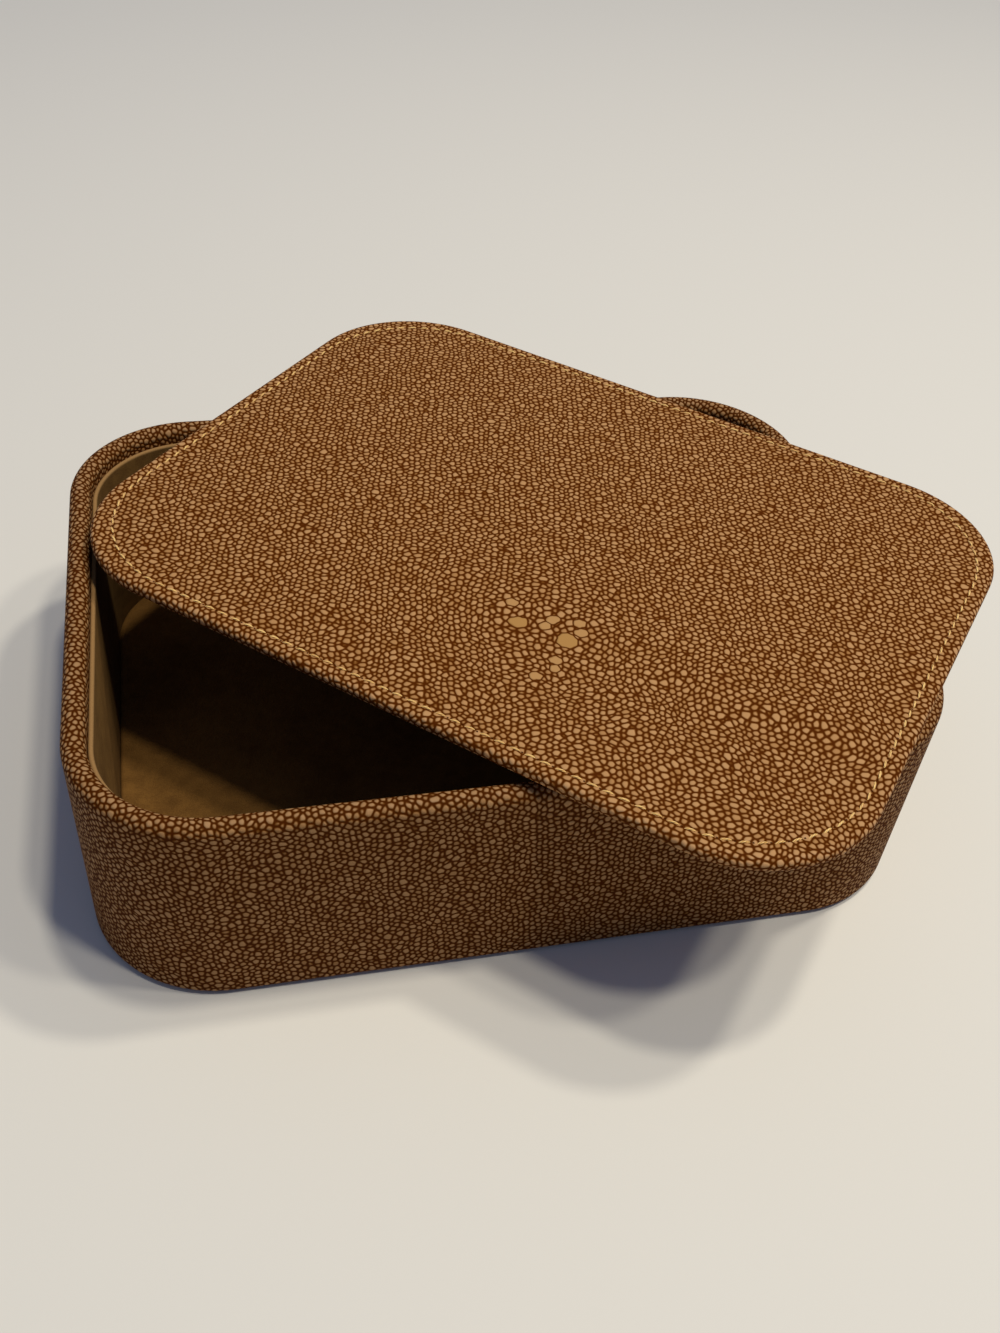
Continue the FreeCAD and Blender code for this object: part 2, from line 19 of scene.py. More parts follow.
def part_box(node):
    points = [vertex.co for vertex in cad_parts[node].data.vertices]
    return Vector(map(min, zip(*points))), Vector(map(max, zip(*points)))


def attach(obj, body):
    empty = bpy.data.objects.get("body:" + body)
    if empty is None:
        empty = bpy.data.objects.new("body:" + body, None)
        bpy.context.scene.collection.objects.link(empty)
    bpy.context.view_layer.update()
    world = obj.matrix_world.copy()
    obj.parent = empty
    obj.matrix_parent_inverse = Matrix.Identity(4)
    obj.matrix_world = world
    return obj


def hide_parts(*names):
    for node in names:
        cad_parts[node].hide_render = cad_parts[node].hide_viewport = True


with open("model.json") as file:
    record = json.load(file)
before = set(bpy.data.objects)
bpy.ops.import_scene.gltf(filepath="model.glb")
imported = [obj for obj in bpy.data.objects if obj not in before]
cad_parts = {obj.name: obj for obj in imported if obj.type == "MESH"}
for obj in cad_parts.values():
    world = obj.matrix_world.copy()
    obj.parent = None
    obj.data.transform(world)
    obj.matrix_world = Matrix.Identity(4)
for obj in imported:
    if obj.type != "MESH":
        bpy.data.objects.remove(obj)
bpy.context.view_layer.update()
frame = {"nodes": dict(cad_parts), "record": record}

MM = 0.001
SAME = 1e-6
FULL = 255
QUARTER = math.radians(90)
HALF = math.radians(180)
UP = Vector((0, 0, 1))
GRAIN_MAP = "grain"
SEAM_MAP = "seam"
EDGE_MAP = "edge"
TWIST_MAP = "twist"
log = logging.getLogger("box")


class Body(Enum):
    """The two bodies that pieces ride on."""

    BOX = "box"
    LID = "lid"


class Slot(Enum):
    """The finishes that the part's record names."""

    BOARD = "board"
    CARD = "card"
    SKIN = "shagreen_skin"
    SUEDE = "suede"
    FELT = "felt"
    THREAD = "thread"


class Cap(Enum):
    """Which end of a swept section is closed by a flat face."""

    NONE = "none"
    START = "start"
    END = "end"
    BOTH = "both"


@dataclass(frozen=True)
class Paint:
    """A colour as a screen shows it, each part from 0 to 255."""

    red: float
    green: float
    blue: float

    def linear(self, share: float = 1.0) -> tuple[float, float, float, float]:
        """The same colour in the renderer's linear values, opaque, at a share of its brightness."""
        shown = Color((self.red, self.green, self.blue)) / FULL
        return (*(shown.from_srgb_to_scene_linear() * share), 1.0)


Number = Union["Field", float]
Link = Union["Field", bpy.types.NodeSocket, float, Sequence[float]]


class Field:
    """A number that varies over a surface: a socket with the usual operators."""

    def __init__(self, shader: "Shader", socket: bpy.types.NodeSocket) -> None:
        """Wrap one socket of a shader."""
        self.shader = shader
        self.socket = socket

    def __add__(self, other: Number) -> "Field":
        """This plus another number."""
        return self.shader.maths("ADD", self, other)

    __radd__ = __add__

    def __sub__(self, other: Number) -> "Field":
        """This less another number."""
        return self.shader.maths("SUBTRACT", self, other)

    def __rsub__(self, other: Number) -> "Field":
        """Another number less this."""
        return self.shader.maths("SUBTRACT", other, self)

    def __mul__(self, other: Number) -> "Field":
        """This times another number."""
        return self.shader.maths("MULTIPLY", self, other)

    __rmul__ = __mul__

    def __truediv__(self, other: Number) -> "Field":
        """This divided by another number."""
        return self.shader.maths("DIVIDE", self, other)

    def __rtruediv__(self, other: Number) -> "Field":
        """Another number divided by this."""
        return self.shader.maths("DIVIDE", other, self)

    def lower(self, other: Number) -> "Field":
        """The lower of this and another number."""
        return self.shader.maths("MINIMUM", self, other)

    def higher(self, other: Number) -> "Field":
        """The higher of this and another number."""
        return self.shader.maths("MAXIMUM", self, other)

    def floor(self) -> "Field":
        """The whole number at or below."""
        return self.shader.maths("FLOOR", self)

    def remainder(self, whole: float) -> "Field":
        """What is left above a multiple of a number."""
        return self.shader.maths("FLOORED_MODULO", self, whole)

    def root(self) -> "Field":
        """The square root."""
        return self.shader.maths("SQRT", self)

    def bell(self) -> "Field":
        """One at zero, falling away on both sides as a bell does."""
        return self.shader.maths("EXPONENT", self * self * -1)

    def sine(self) -> "Field":
        """The sine of an angle in radians."""
        return self.shader.maths("SINE", self)

    def size(self) -> "Field":
        """The number without its sign."""
        return self.shader.maths("ABSOLUTE", self)

    def near_whole(self) -> "Field":
        """How far it is to the nearest whole number."""
        return self.shader.maths("PINGPONG", self, 1 / 2)

    def step(self, low: float, high: float) -> "Field":
        """A smooth step from 0 at low to 1 at high.

        Args:
            low: where it leaves 0.
            high: where it reaches 1, which may lie below low.

        Returns:
            The step.
        """
        settings = {"interpolation_type": "SMOOTHSTEP"}
        limits = {"From Min": low, "From Max": high, "To Min": 0.0, "To Max": 1.0}
        made = self.shader.node("ShaderNodeMapRange", settings, {"Value": self, **limits})
        return Field(self.shader, made.outputs["Result"])


class Shader:
    """The nodes of one material."""

    MIX_SHARE = 0
    MIX_FIRST_COLOUR = 6
    MIX_SECOND_COLOUR = 7
    MIX_COLOUR_OUT = 2

    def __init__(self, name: str) -> None:
        """Start a material with its one surface shader.

        Args:
            name: the material's name.
        """
        self.material = bpy.data.materials.new(name)
        self.material.use_nodes = True
        self.nodes = self.material.node_tree.nodes
        self.surface = next(node for node in self.nodes if node.type == "BSDF_PRINCIPLED")

    def node(
        self, kind: str, settings: Mapping[str, Any], inputs: Mapping[Union[str, int], Link],
    ) -> bpy.types.Node:
        """Add one node.

        Args:
            kind: the node's type.
            settings: what is set on the node itself, first.
            inputs: the values or links of its sockets, by name or place.

        Returns:
            The new node.
        """
        made = self.nodes.new(kind)
        for name, value in settings.items():
            setattr(made, name, value)
        for name, value in inputs.items():
            self.feed(made.inputs[name], value)
        return made

    def feed(self, socket: bpy.types.NodeSocket, value: Link) -> None:
        """Give a socket its link or its plain value.

        Args:
            socket: what is fed.
            value: another socket, a field, or a number or colour.
        """
        if isinstance(value, Field):
            value = value.socket
        if isinstance(value, bpy.types.NodeSocket):
            self.material.node_tree.links.new(value, socket)
        else:
            socket.default_value = value

    def maths(self, operation: str, *values: Number) -> Field:
        """One Math node on numbers."""
        made = self.node("ShaderNodeMath", {"operation": operation}, dict(enumerate(values)))
        return Field(self, made.outputs[0])

    def vector(self, operation: str, *values: Link) -> bpy.types.NodeSocket:
        """One Vector Math node that gives a vector."""
        made = self.node("ShaderNodeVectorMath", {"operation": operation}, dict(enumerate(values)))
        return made.outputs["Vector"]

    def chances(self, seed: Field) -> tuple[Field, Field, Field]:
        """Three chance numbers from 0 to 1 that belong to a seed.

        Args:
            seed: the number that they belong to.

        Returns:
            The three numbers.
        """
        made = self.node("ShaderNodeTexWhiteNoise", {"noise_dimensions": "1D"}, {"W": seed})
        split = self.node("ShaderNodeSeparateColor", {}, {0: made.outputs["Color"]})
        return tuple(Field(self, socket) for socket in split.outputs)

    def parts(self, place: bpy.types.NodeSocket) -> tuple[Field, Field, Field]:
        """The three coordinates of a place."""
        made = self.node("ShaderNodeSeparateXYZ", {}, {0: place})
        return tuple(Field(self, socket) for socket in made.outputs)

    def blend(self, share: Number, first: Link, second: Link) -> bpy.types.NodeSocket:
        """A colour between two.

        Args:
            share: how far it lies from the first towards the second.
            first: the colour at a share of 0.
            second: the colour at a share of 1.

        Returns:
            The mixed colour's socket.
        """
        inputs = {self.MIX_SHARE: share, self.MIX_FIRST_COLOUR: first, self.MIX_SECOND_COLOUR: second}
        made = self.node("ShaderNodeMix", {"data_type": "RGBA"}, inputs)
        return made.outputs[self.MIX_COLOUR_OUT]

    def own_map(self, name: str) -> bpy.types.NodeSocket:
        """The place on one of the piece's own maps."""
        return self.node("ShaderNodeUVMap", {"uv_map": name}, {}).outputs[0]

    def place(self) -> bpy.types.NodeSocket:
        """The place in the piece's own space."""
        return self.node("ShaderNodeTexCoord", {}, {}).outputs["Object"]

    def noise(self, place: bpy.types.NodeSocket, size: float, detail: float = 2.0) -> Field:
        """Soft noise from 0 to 1 with blots of about the given size."""
        made = self.node("ShaderNodeTexNoise", {}, {"Vector": place, "Scale": 1 / size, "Detail": detail})
        return Field(self, made.outputs[0])

    def wander(self, place: bpy.types.NodeSocket, size: float) -> tuple[Field, Field]:
        """Two soft numbers about zero that change over about the given size.

        Args:
            place: where on the surface.
            size: how far it is from one blot to the next.

        Returns:
            The two numbers, each from -0.5 to 0.5.
        """
        made = self.node("ShaderNodeTexNoise", {}, {"Vector": place, "Scale": 1 / size, "Detail": 0.0})
        split = self.node("ShaderNodeSeparateColor", {}, {0: made.outputs["Color"]})
        return tuple(Field(self, socket) - 1 / 2 for socket in split.outputs[:2])

    def raise_by(self, height: Field, depth: float) -> None:
        """Raise the surface by a height from 0 to 1 that stands for the given depth."""
        made = self.node("ShaderNodeBump", {}, {"Strength": 1.0, "Distance": depth, "Height": height})
        self.feed(self.surface.inputs["Normal"], made.outputs[0])

    def dress(self, **sockets: Link) -> bpy.types.Material:
        """Set the surface's own sockets and hand over the material.

        Args:
            sockets: a value or link for each socket, by its name in lower case with _ for a space.

        Returns:
            The material.
        """
        for name, value in sockets.items():
            title = " ".join("IOR" if word == "ior" else word.capitalize() for word in name.split("_"))
            self.feed(self.surface.inputs[title], value)
        return self.material


@dataclass(frozen=True)
class Pearl:
    """One of the large smooth pebbles of the grain, by its place on the lid and its half sizes."""

    along: float
    across: float
    half_length: float
    half_width: float
    turn: float = 0.0
    tint_share: float = 0.5


@dataclass(frozen=True)
class Swell:
    """A stretch of the hide with larger pebbles, by its middle, its reach and how much larger they are.

    A share below zero makes them smaller.
    """

    along: float
    across: float
    reach_along: float
    reach_across: float
    share_along: float
    share_across: float
    extra_weight_share: float = 0.0


def plus(total: Optional[Field], more: Field) -> Field:
    """A running sum that starts empty."""
    return more if total is None else total + more


@dataclass
class Pebbles:
    """Pebbles as fields that grow site by site: the nearest site, and soft sums over all the sites.

    Everything is measured in pitches.
    """

    softness: float
    nearest: Optional[Field] = None
    pull: Optional[Field] = None
    toned: Optional[Field] = None
    tinted: Optional[Field] = None

    @property
    def fade(self) -> float:
        """What a pull falls to over one pitch."""
        return math.exp(-1 / self.softness)

    def add(self, away: Field, tone: Number, tint_share: float = 0.0) -> None:
        """Add one site.

        Args:
            away: how far away it is, less its weight.
            tone: its tone, from 0 to 1.
            tint_share: how much of the pearls' colour it takes.
        """
        pull = away.shader.maths("POWER", self.fade, away)
        self.nearest = away if self.nearest is None else self.nearest.lower(away)
        self.pull = plus(self.pull, pull)
        self.toned = plus(self.toned, pull * tone)
        if tint_share:
            self.tinted = plus(self.tinted, pull * tint_share)

    def ridge(self) -> Field:
        """How far a place is from the groove round its pebble, twice over, rounded off in the corners.

        Returns:
            The difference between the nearest site and the soft nearest of all the others, in pitches.
        """
        shader = self.nearest.shader
        others = (self.pull - shader.maths("POWER", self.fade, self.nearest)).higher(SAME)
        return shader.maths("LOGARITHM", others, math.e) * -self.softness - self.nearest

    def tone(self) -> Field:
        """The tone of the pebble at a place."""
        return self.toned / self.pull

    def tint(self) -> Number:
        """How much of the pearls' colour the pebble at a place has."""
        return 0.0 if self.tinted is None else self.tinted / self.pull


@dataclass(frozen=True)
class Shagreen:
    """Faux leather with a shagreen grain: tan pebbles of mixed sizes on a dark ground.

    Every pebble is the part of the hide that is nearest to its site, and a weight makes it larger or
    smaller. The sites lie in uneven rows that drift, and every third site of a row weighs more. The hide
    swells in places, and may carry a few pearls. From the groove round a pebble, the dark ground turns into
    the flank at the foot, and the flank into the pebble's own tan at the top. The ground is the grain's own
    colour; the darker flank is partly painted shade on the pebble's rounded sides. Their starts and ends
    are twice the distance from the groove.
    """

    name: str
    pitch: float
    edge_reach: float
    swells: tuple[Swell, ...] = ()
    pearls: tuple[Pearl, ...] = ()
    stitched: bool = False
    # a share of the paints' linear brightness; below one it can stand for painted shade, as on the box's
    # walls
    bright_share: float = 1.0
    row_share: float = math.sqrt(0.75)
    row_seed: float = 4096.0
    jitter_share: float = 0.57
    drift: float = 3.2 * MM
    drift_size: float = 16 * MM
    large_every: int = 3
    weight_share: float = 0.37
    large_share: float = 0.25
    softness: float = 0.08
    pearl_stiffness: float = 2.2
    pearl_edge_share: float = 0.12
    foot_start: float = 0.18 * MM
    foot_end: float = 0.78 * MM
    top_start: float = 0.52 * MM
    top_end: float = 1.15 * MM
    crown: float = 1.9 * MM
    relief: float = 0.34 * MM
    crown_share: float = 0.9
    tooth: float = 0.5 * MM
    tooth_share: float = 0.06
    cloud: float = 30 * MM
    cloud_share: float = 0.3
    billow_share: float = 0.5
    ground: Paint = Paint(82, 35, 0)
    # the flank is partly painted shade on the pebbles' sides
    flank: Paint = Paint(124, 75, 25)
    pebble: Paint = Paint(170, 121, 71)
    pale_pebble: Paint = Paint(190, 143, 94)
    pearl: Paint = Paint(176, 130, 72)
    # in the leather this paint is pale wear along the rounded edges
    wear_and_highlight: Paint = Paint(206, 164, 122)
    wear_and_highlight_share: float = 0.3
    hole_pitch_share: float = 0.07
    hole_half_width: float = 0.36 * MM
    hole_floor_share: float = 0.5
    roughness: float = 0.7
    polish_share: float = 0.1
    specular: float = 0.03
    coat: float = 0.12
    coat_roughness: float = 0.42

    def lay(self, shader: Shader, place: bpy.types.NodeSocket) -> Pebbles:
        """Lay the pebbles.

        Args:
            shader: the material's nodes.
            place: where on the hide, along and across it, in metres.

        Returns:
            The pebbles' fields.
        """
        along, across, _ = shader.parts(place)
        pebbles = Pebbles(self.softness)
        for pearl in self.pearls:
            self.lay_pearl(pebbles, pearl, along, across)
        aside, above = shader.wander(place, self.drift_size)
        along = along + aside * self.drift
        across = across + above * self.drift
        weight: Number = self.weight_share
        for swell in self.swells:
            aside = along - swell.along
            above = across - swell.across
            fade = (aside / swell.reach_along).bell() * (above / swell.reach_across).bell()
            along = along - aside * fade * swell.share_along
            across = across - above * fade * swell.share_across
            weight = fade * swell.extra_weight_share + weight
        column = along / self.pitch
        line = across / (self.pitch * self.row_share)
        middle_row = line.floor()
        for rows_off in (-1, 0, 1):
            row = middle_row + rows_off
            above = (line - row - (1 - self.jitter_share) / 2) * self.row_share
            shift = row.remainder(2) / 2
            first = (column - shift).floor() + shift
            aside = column - first - (1 - self.jitter_share) / 2
            for columns_off in (-1, 0, 1):
                site = first + columns_off
                large = (site - row * (self.large_every / 2)).remainder(self.large_every).step(1, 0)
                chances = shader.chances(row * self.row_seed + site)
                self.lay_site(pebbles, chances, large, aside - columns_off, above, weight)
        return pebbles

    def lay_site(
        self, pebbles: Pebbles, chances: tuple[Field, Field, Field], large: Field, aside: Field,
        above: Field, weight: Number,
    ) -> None:
        """Add one site of the uneven rows.

        Args:
            pebbles: what the site is added to.
            chances: the site's three chance numbers, two for its place and one for its weight.
            large: one for every third site, which weighs more, and zero for the two beside it.
            aside: how far along the hide the place lies from the site's even place, in pitches.
            above: how far across the hide it lies from there.
            weight: the largest weight of a site, in pitches.
        """
        length = aside - chances[0] * self.jitter_share
        width = above - chances[1] * (self.jitter_share * self.row_share)
        size = large * self.large_share + chances[2] * (1 - self.large_share)
        pebbles.add((length * length + width * width).root() - size * weight, chances[2])

    def lay_pearl(self, pebbles: Pebbles, pearl: Pearl, along: Field, across: Field) -> None:
        """Add one pearl, whose edge gives way a little to the pebbles round it.

        Args:
            pebbles: what the pearl is added to.
            pearl: its place and sizes.
            along: where on the hide, in metres, along it.
            across: where on the hide, in metres, across it.
        """
        cosine = math.cos(pearl.turn)
        sine = math.sin(pearl.turn)
        aside = along - pearl.along
        above = across - pearl.across
        length = (aside * cosine + above * sine) / pearl.half_length
        width = (above * cosine - aside * sine) / pearl.half_width
        stiffness = self.pearl_stiffness * pearl.half_width / self.pitch
        beyond = ((length * length + width * width).root() - 1) * stiffness
        pebbles.add(beyond + self.pearl_edge_share, 1.0, pearl.tint_share)

    def material(self) -> bpy.types.Material:
        """Make the leather's material.

        Returns:
            The material, laid out on the piece's grain map.
        """
        shader = Shader(self.name)
        place = shader.own_map(GRAIN_MAP)
        pebbles = self.lay(shader, place)
        ridge = pebbles.ridge() * self.pitch
        top = ridge.step(self.top_start, self.top_end)
        tooth = shader.noise(place, self.tooth)
        cloud = shader.noise(place, self.cloud)
        bright = self.bright_share
        tone = pebbles.tone() + (cloud - 1 / 2) * self.cloud_share
        pebble = shader.blend(tone, self.pebble.linear(bright), self.pale_pebble.linear(bright))
        pebble = shader.blend(pebbles.tint(), pebble, self.pearl.linear(bright))
        edge = shader.parts(shader.own_map(EDGE_MAP))[0]
        wear_and_highlight_mask = (edge / self.edge_reach).bell() * (tooth + self.wear_and_highlight_share) * self.wear_and_highlight_share
        pebble = shader.blend(wear_and_highlight_mask, pebble, self.wear_and_highlight.linear(bright))
        # painted shade, partly: the pebble darkens from its top down its flank to the ground
        foot = ridge.step(self.foot_start, self.foot_end)
        low = shader.blend(foot, self.ground.linear(bright), self.flank.linear(bright))
        colour = shader.blend(top, low, pebble)
        height = ridge.step(0, self.crown) * self.crown_share + tooth * self.tooth_share
        height = height + cloud * self.billow_share
        if self.stitched:
            hole = self.holes(shader)
            # painted shade: the stitch holes take the dark ground colour for the shade down in them
            colour = shader.blend(hole, colour, self.ground.linear(bright))
            height = height - hole
        shader.raise_by(height, self.relief)
        shader.dress(coat_weight=top * self.coat, coat_roughness=self.coat_roughness)
        roughness = (tooth - top) * self.polish_share + self.roughness
        return shader.dress(base_color=colour, roughness=roughness, specular_ior_level=self.specular)

    def holes(self, shader: Shader) -> Field:
        """The holes that the thread goes through, one between each two stitches.

        Args:
            shader: the material's nodes.

        Returns:
            One in a hole and zero beside it.
        """
        count, inset, _ = shader.parts(shader.own_map(SEAM_MAP))
        along = count.near_whole() / self.hole_pitch_share
        across = (inset / self.hole_half_width).size()
        return along.higher(across).step(1, self.hole_floor_share)


@dataclass(frozen=True)
class Nap:
    """Suede or felt: a short nap, brushed unevenly."""

    name: str
    dark: Paint
    light: Paint
    hair: float = 0.38 * MM
    blot: float = 5 * MM
    brush: float = 45 * MM
    hair_share: float = 0.5
    blot_share: float = 0.3
    brush_share: float = 0.5
    dark_level: float = 0.4
    light_level: float = 0.9
    pile: float = 0.12 * MM
    pile_hair_share: float = 0.8
    sheen: float = 0.12
    sheen_roughness: float = 0.45
    roughness: float = 0.93
    specular: float = 0.15
    fine_detail: float = 4.0
    # painted highlight: the paler paint that the nap turns to towards a level, such as the lining's top fold
    wear_and_highlight: Optional[Paint] = None
    painted_highlight_level: float = 0.0
    painted_highlight_depth: float = 1.3 * MM
    wear_and_highlight_share: float = 0.4

    def material(self) -> bpy.types.Material:
        """Make the cloth's material in the piece's own space, with a painted highlight that makes it paler
        near a level.

        Returns:
            The material.
        """
        shader = Shader(self.name)
        place = shader.place()
        hair = shader.noise(place, self.hair, self.fine_detail)
        blot = shader.noise(place, self.blot)
        brush = shader.noise(place, self.brush)
        mixed = hair * self.hair_share + blot * self.blot_share + brush * self.brush_share
        share = mixed.step(self.dark_level, self.light_level)
        shader.raise_by(hair * self.pile_hair_share + blot * (1 - self.pile_hair_share), self.pile)
        colour = shader.blend(share, self.dark.linear(), self.light.linear())
        # painted highlight: the nap turns paler just below the given level
        if self.wear_and_highlight:
            level = shader.parts(place)[2]
            wear_and_highlight_mask = level.step(self.painted_highlight_level - self.painted_highlight_depth, self.painted_highlight_level)
            colour = shader.blend(wear_and_highlight_mask * (hair + self.wear_and_highlight_share), colour, self.wear_and_highlight.linear())
        shader.dress(sheen_weight=self.sheen, sheen_roughness=self.sheen_roughness)
        shader.dress(sheen_tint=self.light.linear(), specular_ior_level=self.specular)
        return shader.dress(base_color=colour, roughness=self.roughness)


@dataclass(frozen=True)
class Thread:
    """Sewing thread of a few twisted plies, paler on some stitches than on others."""

    name: str
    dark: Paint = Paint(196, 139, 64)
    light: Paint = Paint(250, 208, 126)
    plies: int = 3
    turns: float = 4.0
    fuzz: float = 0.15 * MM
    wear: float = 11 * MM
    ply_share: float = 0.5
    fuzz_share: float = 0.3
    wear_share: float = 0.8
    dark_level: float = 0.4
    light_level: float = 1.1
    twist_depth: float = 0.1 * MM
    sheen: float = 0.2
    roughness: float = 0.55
    specular: float = 0.4

    def material(self) -> bpy.types.Material:
        """Make the thread's material on its own twist map.

        Returns:
            The material.
        """
        shader = Shader(self.name)
        around, along, _ = shader.parts(shader.own_map(TWIST_MAP))
        ply = ((around * self.plies + along * self.turns) * (2 * math.pi)).sine() / 2 + 1 / 2
        place = shader.place()
        fuzz = shader.noise(place, self.fuzz)
        wear = shader.noise(place, self.wear)
        # painted shade: the plies' twist is painted too, paler on the crests and darker between them,
        # besides its bump
        mixed = ply * self.ply_share + fuzz * self.fuzz_share + wear * self.wear_share
        share = mixed.step(self.dark_level, self.light_level)
        shader.raise_by(ply, self.twist_depth)
        colour = shader.blend(share, self.dark.linear(), self.light.linear())
        shader.dress(sheen_weight=self.sheen, specular_ior_level=self.specular)
        return shader.dress(base_color=colour, roughness=self.roughness)


@dataclass(frozen=True)
class Fibre:
    """Pressed fibres, as in fibreboard and card: flecks lying along the sheet."""

    name: str
    dark: Paint
    light: Paint
    fleck: float
    stretch: float = 4.0
    cloud: float = 20 * MM
    fleck_share: float = 0.8
    cloud_share: float = 0.4
    dark_level: float = 0.35
    light_level: float = 0.85
    tooth: float = 0.08 * MM
    fine_detail: float = 5.0
    roughness: float = 0.85
    polish_share: float = 0.1
    specular: float = 0.25

    def material(self) -> bpy.types.Material:
        """Make the board's material in the piece's own space.

        Returns:
            The material.
        """
        shader = Shader(self.name)
        place = shader.place()
        laid = shader.vector("MULTIPLY", place, (1, 1, self.stretch))
        fleck = shader.noise(laid, self.fleck, self.fine_detail)
        cloud = shader.noise(place, self.cloud)
        share = (fleck * self.fleck_share + cloud * self.cloud_share).step(self.dark_level, self.light_level)
        shader.raise_by(fleck, self.tooth)
        colour = shader.blend(share, self.dark.linear(), self.light.linear())
        roughness = self.roughness - fleck * self.polish_share
        return shader.dress(base_color=colour, roughness=roughness, specular_ior_level=self.specular)


@dataclass(frozen=True)
class Plan:
    """A rounded rectangle seen from above, about the origin."""

    length: float
    width: float
    radius: float

    def inset(self, depth: float) -> "Plan":
        """The outline that lies inside this one by a depth."""
        return Plan(self.length - 2 * depth, self.width - 2 * depth, self.radius - depth)

    @property
    def reach(self) -> Vector:
        """How far the corners' centres are from the middle, along and across."""
        return Vector((self.length / 2 - self.radius, self.width / 2 - self.radius))

    @property
    def perimeter(self) -> float:
        """The way round the outline."""
        return 4 * (self.reach.x + self.reach.y) + 2 * math.pi * self.radius

    @property
    def flat(self) -> tuple[float, float]:
        """The width and length of a sheet cut to the outline."""
        return self.width, self.length

    @property
    def area(self) -> float:
        """The area inside the outline."""
        return self.length * self.width - (4 - math.pi) * self.radius ** 2

    def core(self, point: Vector) -> Vector:
        """The point of the rectangle between the corners' centres that is nearest."""
        reach = self.reach
        return Vector((max(-reach.x, min(reach.x, point.x)), max(-reach.y, min(reach.y, point.y))))

    def depth(self, point: Vector) -> float:
        """How far a point near the edge lies inside the outline."""
        return self.radius - (point.xy - self.core(point)).length

    def along(self, point: Vector) -> float:
        """How far round the outline a point lies, from the middle of the back, anticlockwise from above.

        Args:
            point: a point on or near the outline.

        Returns:
            The way round.
        """
        reach = self.reach
        core = self.core(point)
        out = point.xy - core
        turn = (math.atan2(out.y, out.x) - QUARTER) % (2 * math.pi)
        side = int((turn + SAME) / QUARTER) % 4
        turn = turn if side or turn < QUARTER else 0.0
        travel = (
            -core.x,
            reach.x + reach.y - core.y,
            2 * reach.x + 2 * reach.y + core.x,
            3 * reach.x + 3 * reach.y + core.y,
        )[side]
        whole = self.perimeter if travel < 0 else 0.0
        return travel + whole + self.radius * turn

    def at(self, along: float) -> tuple[Vector, float]:
        """The place that lies a given way round the outline.

        Args:
            along: the way from the middle of the back, anticlockwise from above.

        Returns:
            The point, and the heading there as an angle from +X.
        """
        reach = self.reach
        runs = (reach.x, 2 * reach.y, 2 * reach.x, 2 * reach.y, reach.x)
        starts = ((0, 1), (-1, 1), (-1, -1), (1, -1), (1, 1))
        for side, (run, (across, above)) in enumerate(zip(runs, starts)):
            heading = HALF + side * QUARTER
            step = Vector((math.cos(heading), math.sin(heading)))
            out = Vector((step.y, -step.x))
            centre = Vector((across * reach.x, above * reach.y))
            if along <= run:
                return centre + out * self.radius + step * along, heading
            along -= run
            if along <= QUARTER * self.radius:
                turned = along / self.radius
                corner = centre + step * run
                return corner + Matrix.Rotation(turned, 2) @ out * self.radius, heading + turned
            along -= QUARTER * self.radius
        return self.at(0.0)


